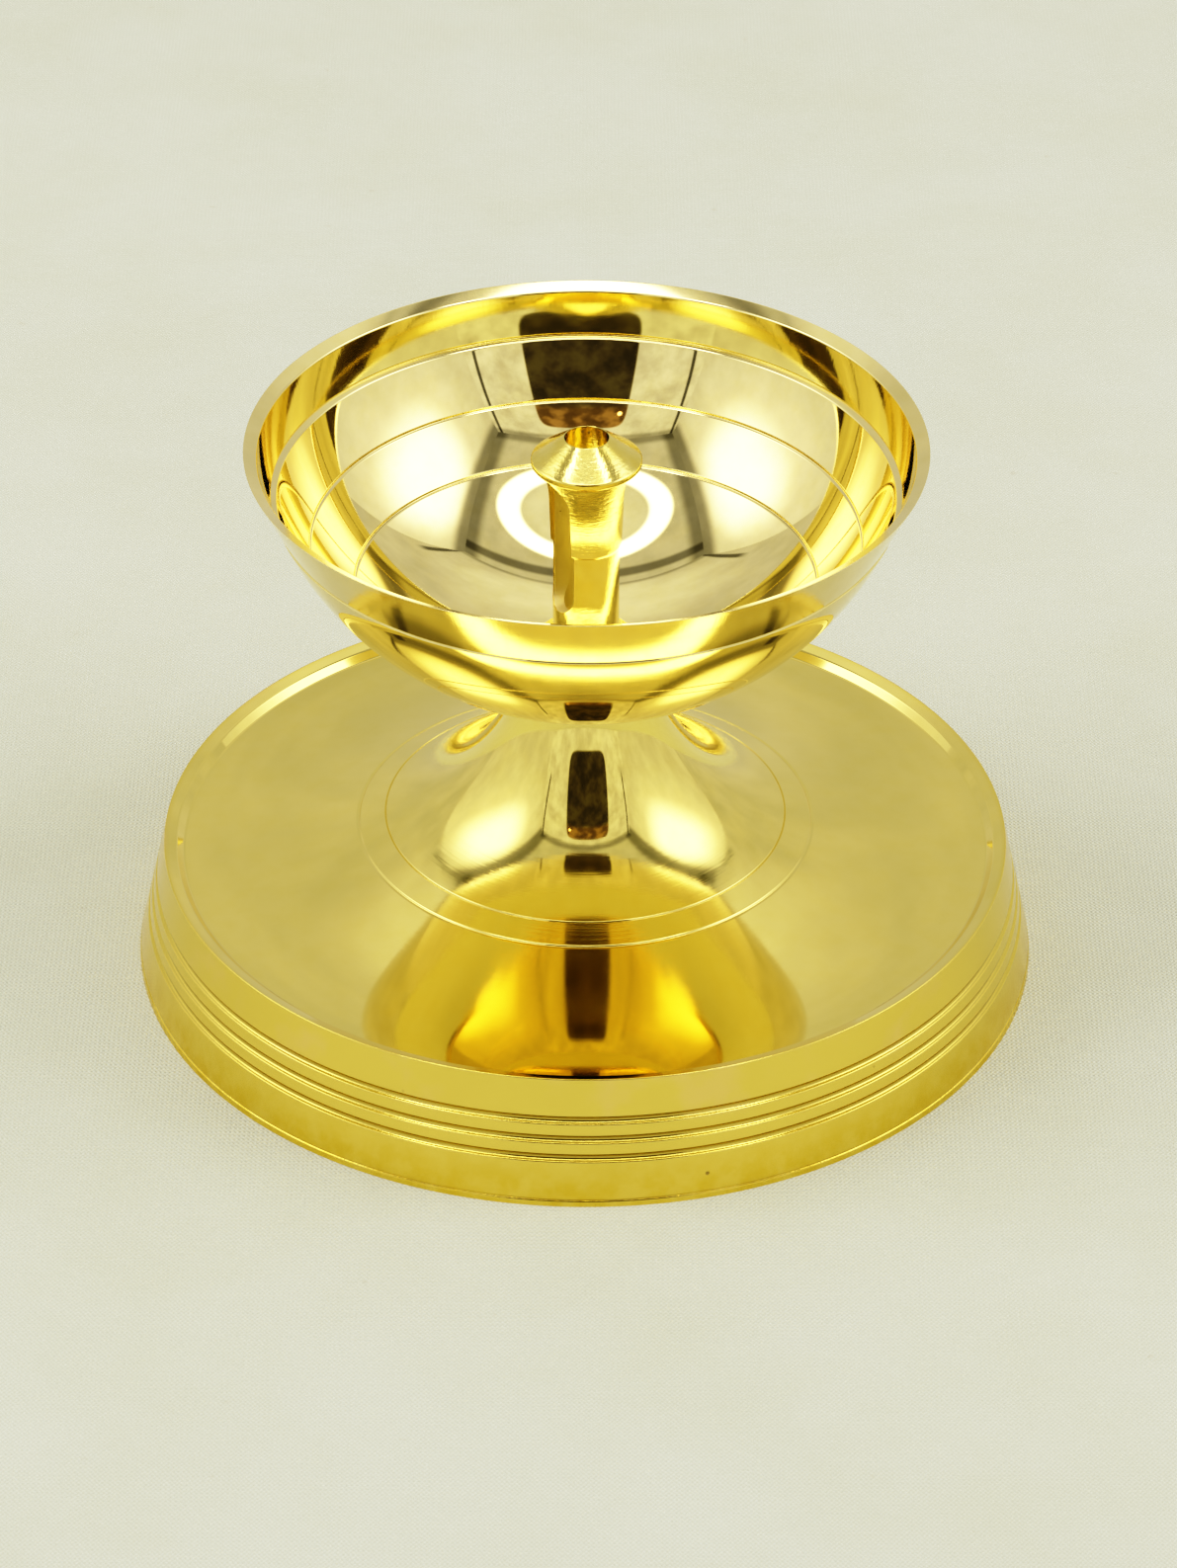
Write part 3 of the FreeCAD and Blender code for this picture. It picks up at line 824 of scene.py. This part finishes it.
class Cloth:
    """Lit cloth wall of the tent. Patterns are placed in metres from its middle, u across, v up."""

    def __init__(self, name, glow, crinkle=0.1):
        g = self.g = Graph(name)
        self.place = g.node("TexCoord").outputs["Object"]
        split = g.node("SeparateXYZ")
        g.feed(split.inputs[0], self.place)
        self.u, self.v = split.outputs[0], split.outputs[1]
        folds = g.noise(self.place, 14.0, 5.0, 0.6)
        self.strength = g.ramp(folds, 0.3, 0.72, glow * (1 - crinkle), glow * (1 + crinkle))
        self.colour = CLOTH_WHITE

    def distance(self, centre, radii, power=2.0):
        """1 on an ellipse round the centre, or on a squarer outline with a higher power."""
        g = self.g
        du = g.math("ABSOLUTE", g.math("DIVIDE", g.math("SUBTRACT", self.u, centre[0]), radii[0]))
        dv = g.math("ABSOLUTE", g.math("DIVIDE", g.math("SUBTRACT", self.v, centre[1]), radii[1]))
        total = g.math("ADD", g.math("POWER", du, power), g.math("POWER", dv, power))
        return g.math("POWER", total, 1 / power)

    def lamp(self, centre, radii, glow, core, power=2.0):
        """Patch of light that fades from its core out to its radii."""
        lit = self.g.ramp(self.distance(centre, radii, power), core, 1.0, glow, 0.0)
        self.strength = self.g.math("ADD", self.strength, lit)

    def ring(self, centre, radii, half, glow):
        """Ring of light along the ellipse."""
        off = self.g.math("ABSOLUTE", self.g.math("SUBTRACT", self.distance(centre, radii), 1.0))
        lit = self.g.ramp(off, half * 0.45, half * 1.4, glow, 0.0)
        self.strength = self.g.math("ADD", self.strength, lit)

    def shade(self, coordinate, centre, half, keep, slant=0.0, above=-1.0):
        """Dark soft stripe across u or v, that leans by slant and starts above a height."""
        g = self.g
        across, other = (self.u, self.v) if coordinate == "u" else (self.v, self.u)
        middle = g.math("ADD", g.math("MULTIPLY", other, slant), centre)
        off = g.math("ABSOLUTE", g.math("SUBTRACT", across, middle))
        stripe = g.ramp(off, half * 0.4, half, 1.0 - keep, 0.0)
        stripe = g.math("MULTIPLY", stripe, g.ramp(self.v, above, above + 0.04))
        self.strength = g.math("MULTIPLY", self.strength, g.math("SUBTRACT", 1.0, stripe))

    def opening(self, centre, radii, band):
        """Dark room seen through a gap in the wall, brown and lighter in the band at its top."""
        g = self.g
        hole = g.ramp(self.distance(centre, radii, 8.0), 0.96, 1.0, 1.0, 0.0)
        murk = g.ramp(g.noise(self.place, 16.0, 3.0, 0.6), 0.35, 0.7, 0.05, 0.12)
        high = g.ramp(self.v, band[0], band[1])
        patch = g.ramp(g.noise(self.place, 21.0, 2.0, 0.5), 0.45, 0.62, 0.08, 0.32)
        room = g.math("ADD", murk, g.math("MULTIPLY", high, patch))
        self.colour = g.mix(hole, self.colour, g.mix(high, ROOM_DARK, ROOM_BROWN))
        lit = g.math("MULTIPLY", self.strength, g.math("SUBTRACT", 1.0, hole))
        self.strength = g.math("ADD", lit, g.math("MULTIPLY", room, hole))

    def finish(self):
        g = self.g
        light = g.node("Emission")
        g.feed(light.inputs["Color"], self.colour)
        g.feed(light.inputs["Strength"], self.strength)
        return g.surface(light)


def panel(name, width, height, matrix, cloth):
    """Flat panel that only reflections see, so that it blocks no camera and casts no shadow."""
    mesh = bpy.data.meshes.new(name)
    w, h = width / 2, height / 2
    mesh.from_pydata([(-w, -h, 0), (w, -h, 0), (w, h, 0), (-w, h, 0)], [], [(0, 1, 2, 3)])
    mesh.materials.append(cloth.finish())
    made = add_object(name, mesh)
    grown = Matrix.Translation(TENT_MIDDLE) @ Matrix.Scale(TENT_GROWTH, 4)
    made.matrix_world = grown @ Matrix.Translation(-TENT_MIDDLE) @ matrix
    made.visible_camera = False
    made.visible_diffuse = False
    made.visible_shadow = False
    made.visible_transmission = False


def facing(centre, right, up):
    """Matrix that puts a panel's u along right and its v along up."""
    x, y = Vector(right), Vector(up)
    z = x.cross(y)
    turned = Matrix((x, y, z)).transposed().to_4x4()
    turned.translation = Vector(centre)
    return turned


def light_tent():
    """White cloth box round the lamp, bright at the sides, with a ring above and a gap in front."""
    width, depth = TENT_RIGHT - TENT_LEFT, TENT_BACK - TENT_FRONT
    height = TENT_TOP - TENT_FLOOR
    mid_x, mid_y = (TENT_LEFT + TENT_RIGHT) / 2, (TENT_FRONT + TENT_BACK) / 2
    mid_z = (TENT_TOP + TENT_FLOOR) / 2

    left = Cloth("tent_left", CLOTH_GLOW)
    right = Cloth("tent_right", CLOTH_GLOW)
    for cloth, u, lamp_height, radii, core in (
        (left, SIDE_LAMP_SHIFT - mid_y, 0.285, (0.165, 0.13), 0.25),
        (right, SIDE_LAMP_SHIFT + mid_y, 0.292, (0.16, 0.145), 0.3),
    ):
        cloth.lamp((u, lamp_height - mid_z), radii, LAMP_GLOW, core=core, power=2.6)
        cloth.lamp((u, HALO_HEIGHT - mid_z), HALO_RADII, HALO_GLOW, core=0.1)
        cloth.shade("v", height / 2, 0.065, 0.35)

    back = Cloth("tent_back", BACK_GLOW)
    back.lamp((0.0, 0.33 - mid_z), (0.30, 0.17), 0.3, core=0.2)
    for seam_x, slant in ((-0.214, -0.21), (0.232, 0.21)):
        low = BACK_SEAM_LOW - mid_z
        back.shade("u", seam_x - mid_x, SEAM_WIDTH * 1.3, 0.2, slant=slant, above=low)
    back.shade("v", height / 2, 0.03, 0.6)

    front = Cloth("tent_front", FRONT_GLOW, crinkle=0.22)
    for seam_x, slant in ((-0.229, -0.11), (0.243, 0.06)):
        low = FRONT_SEAM_LOW - mid_z
        front.shade("u", seam_x - mid_x, SEAM_WIDTH, 0.12, slant=slant, above=low)
    front.shade("v", height / 2, 0.03, 0.5)
    front.opening(
        (OPENING_CENTRE[0] - mid_x, OPENING_CENTRE[1] - mid_z), OPENING_HALF_SIZES,
        (OPENING_BAND[0] - mid_z, OPENING_BAND[1] - mid_z),
    )
    spark = (SPARK_CENTRE[0] - mid_x, SPARK_CENTRE[1] - mid_z)
    front.lamp(spark, SPARK_RADII, SPARK_GLOW, core=0.4)

    top = Cloth("tent_top", TOP_GLOW)
    ring_centre = (RING_CENTRE[0] - mid_x, RING_CENTRE[1] - mid_y)
    top.lamp(ring_centre, (0.2, 0.15), 0.25, core=0.5)
    top.ring(ring_centre, RING_RADII, RING_HALF_WIDTH, RING_GLOW)
    top.shade("v", 0.135 - mid_y, 0.02, 0.35)
    for edge in (-width / 2, width / 2):
        top.shade("u", edge, 0.05, 0.4)
    top.shade("v", -depth / 2, 0.03, 0.5)

    up = (0, 0, 1)
    panel("tent_left", depth, height, facing((TENT_LEFT, mid_y, mid_z), (0, 1, 0), up), left)
    panel("tent_right", depth, height, facing((TENT_RIGHT, mid_y, mid_z), (0, -1, 0), up), right)
    panel("tent_back", width, height, facing((mid_x, TENT_BACK, mid_z), (1, 0, 0), up), back)
    panel("tent_front", width, height, facing((mid_x, TENT_FRONT, mid_z), (1, 0, 0), up), front)
    panel("tent_top", width, depth, facing((mid_x, mid_y, TENT_TOP), (1, 0, 0), (0, 1, 0)), top)


FLOOR_REACH = 3.0
THREAD_SPACING = 0.45         # mm between the rows of the floor cloth
FLOOR_PALE = (0.755, 0.768, 0.650, 1.0)
FLOOR_WORN = (0.715, 0.722, 0.585, 1.0)
FLOOR_GAP = (0.42, 0.40, 0.28, 1.0)
FLOOR_SPECK = (0.5, 0.42, 0.3, 1.0)


def floor_cloth():
    """Pale woven cloth: fine rows both ways, soft waves, uneven tone and a few specks."""
    g = Graph("floor_cloth")
    place = g.node("TexCoord").outputs["Object"]
    split = g.node("SeparateXYZ")
    g.feed(split.inputs[0], place)
    thread = 2 * math.pi / (THREAD_SPACING * MM)
    wobble = g.math("MULTIPLY", g.noise(place, 260.0, 3.0), 5.0)
    warp = g.math("SINE", g.math("ADD", g.math("MULTIPLY", split.outputs[0], thread), wobble))
    weft = g.math("SINE", g.math("ADD", g.math("MULTIPLY", split.outputs[1], thread * 0.8), wobble))
    rows = g.math("MULTIPLY", g.math("ADD", warp, weft), 0.4)
    weave = g.math("ADD", rows, g.math("MULTIPLY", warp, weft))
    waves = g.noise(place, 14.0, 3.0, 0.5)
    tone = g.noise(place, 30.0, 5.0, 0.65)
    specks = g.ramp(g.noise(place, 420.0, 2.0), 0.72, 0.8, 0.0, 1.0)
    shade = g.mix(g.ramp(tone, 0.3, 0.75), FLOOR_PALE, FLOOR_WORN)
    shade = g.mix(g.ramp(weave, -1.2, 1.2, 0.30, 0.0), shade, FLOOR_GAP)
    shade = g.mix(g.math("MULTIPLY", specks, 0.25), shade, FLOOR_SPECK)
    height = g.math("ADD", g.math("MULTIPLY", weave, 0.10), g.math("MULTIPLY", waves, 6.0))
    bump = g.node("Bump")
    bump.inputs["Strength"].default_value = 0.5
    bump.inputs["Distance"].default_value = MM
    g.feed(bump.inputs["Height"], height)
    shader = g.node("BsdfPrincipled")
    g.feed(shader.inputs["Base Color"], shade)
    shader.inputs["Roughness"].default_value = 0.9
    shader.inputs["Specular IOR Level"].default_value = 0.2
    g.feed(shader.inputs["Normal"], bump.outputs[0])
    return g.surface(shader)


def make_floor():
    reach = FLOOR_REACH
    corners = [(-reach, -reach, 0), (reach, -reach, 0), (reach, reach, 0), (-reach, reach, 0)]
    mesh = bpy.data.meshes.new("floor")
    mesh.from_pydata(corners, [], [(0, 1, 2, 3)])
    mesh.materials.append(floor_cloth())
    add_object("floor", mesh)


ROOM_COLOUR = (1.0, 0.99, 0.95, 1.0)
ROOM_LIGHT = 0.72
SOFT_LAMP_POWER = 1.9         # watts
SOFT_LAMP_SIZES = (0.5, 0.4)
SOFT_LAMP_X = 0.55            # to each side
SOFT_LAMP_Y = -0.05
SOFT_LAMP_Z = 0.55
SOFT_LAMP_AIM = Vector((0, 0, 0.03))


def studio_light():
    """Even pale light all round, and two large soft lamps that give the floor its faint shadows."""
    world = bpy.data.worlds.new("studio")
    bpy.context.scene.world = world
    world.use_nodes = True
    background = world.node_tree.nodes["Background"]
    background.inputs["Color"].default_value = ROOM_COLOUR
    background.inputs["Strength"].default_value = ROOM_LIGHT
    for x in (-SOFT_LAMP_X, SOFT_LAMP_X):
        data = bpy.data.lights.new("soft_lamp", "AREA")
        data.shape = "RECTANGLE"
        data.size, data.size_y = SOFT_LAMP_SIZES
        data.energy = SOFT_LAMP_POWER
        lamp = add_object("soft_lamp", data)
        lamp.location = (x, SOFT_LAMP_Y, SOFT_LAMP_Z)
        aim = SOFT_LAMP_AIM - lamp.location
        lamp.rotation_euler = aim.to_track_quat("-Z", "Y").to_euler()
        lamp.visible_glossy = False


WHITE_LIGHT = 2.0             # light that the camera shows as full white
CAMERA_RESPONSE = (           # light against brightness shown
    (0.03, 0.008),
    (0.08, 0.045),
    (0.20, 0.175),
    (0.45, 0.470),
    (0.75, 0.750),
    (1.10, 0.920),
    (1.50, 0.980),
)


def camera_response():
    """Contrast of a camera, channel by channel: deeper darks and a soft shoulder up to white."""
    view = bpy.context.scene.view_settings
    view.view_transform = "Standard"
    view.use_curve_mapping = True
    view.curve_mapping.white_level = (WHITE_LIGHT, WHITE_LIGHT, WHITE_LIGHT)
    curve = view.curve_mapping.curves[3]
    for light, shown in CAMERA_RESPONSE:
        curve.points.new(light / WHITE_LIGHT, shown)
    for point in curve.points:
        point.handle_type = "AUTO_CLAMPED"
    view.curve_mapping.update()


# ---------------------------------------------------------------- camera

CAMERA_LENS = 123.8           # mm
CAMERA_SENSOR = 36.0          # mm
CAMERA_DISTANCE = 0.5313
CAMERA_ELEVATION = math.radians(33.72)
CAMERA_ROLL = math.radians(0.244)
CAMERA_TARGET = Vector((0.00031, 0, 0.01786))


def make_camera():
    rise, reach = math.sin(CAMERA_ELEVATION), math.cos(CAMERA_ELEVATION)
    back = Vector((0, -reach, rise))
    up = Vector((0, rise, reach))
    right = Vector((1, 0, 0))
    tilted_right = right * math.cos(CAMERA_ROLL) + up * math.sin(CAMERA_ROLL)
    tilted_up = up * math.cos(CAMERA_ROLL) - right * math.sin(CAMERA_ROLL)
    data = bpy.data.cameras.new("camera")
    data.lens = CAMERA_LENS
    data.sensor_width = CAMERA_SENSOR
    camera = add_object("camera", data)
    turned = Matrix((tilted_right, tilted_up, back)).transposed().to_4x4()
    turned.translation = CAMERA_TARGET + back * CAMERA_DISTANCE
    camera.matrix_world = turned
    bpy.context.scene.camera = camera


# ---------------------------------------------------------------- assembly

def place_piece(piece, material, body, node):
    """Puts the material on a piece, hangs the piece from the body that moves it and hides the CAD node
    that it stands in for.
    """
    piece.data.materials.clear()
    piece.data.materials.append(material)
    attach(piece, body)
    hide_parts(node)


dull = washer_brass()
place_piece(make_base(), satin_brass(), "pedestal", "pedestal_base")
neck_ring = make_washer("neck_washer_ring", NECK_WASHER)
place_piece(neck_ring, dull, "pedestal", "neck_washer")
place_piece(make_bowl(), polished_brass(), "bowl", "oil_bowl")
seal_ring = make_washer("holder_washer_ring", HOLDER_WASHER)
place_piece(seal_ring, dull, "seal", "holder_washer")
place_piece(make_holder(), coarse_brass(), "holder", "wick_holder")

make_floor()
light_tent()
studio_light()
make_camera()
camera_response()
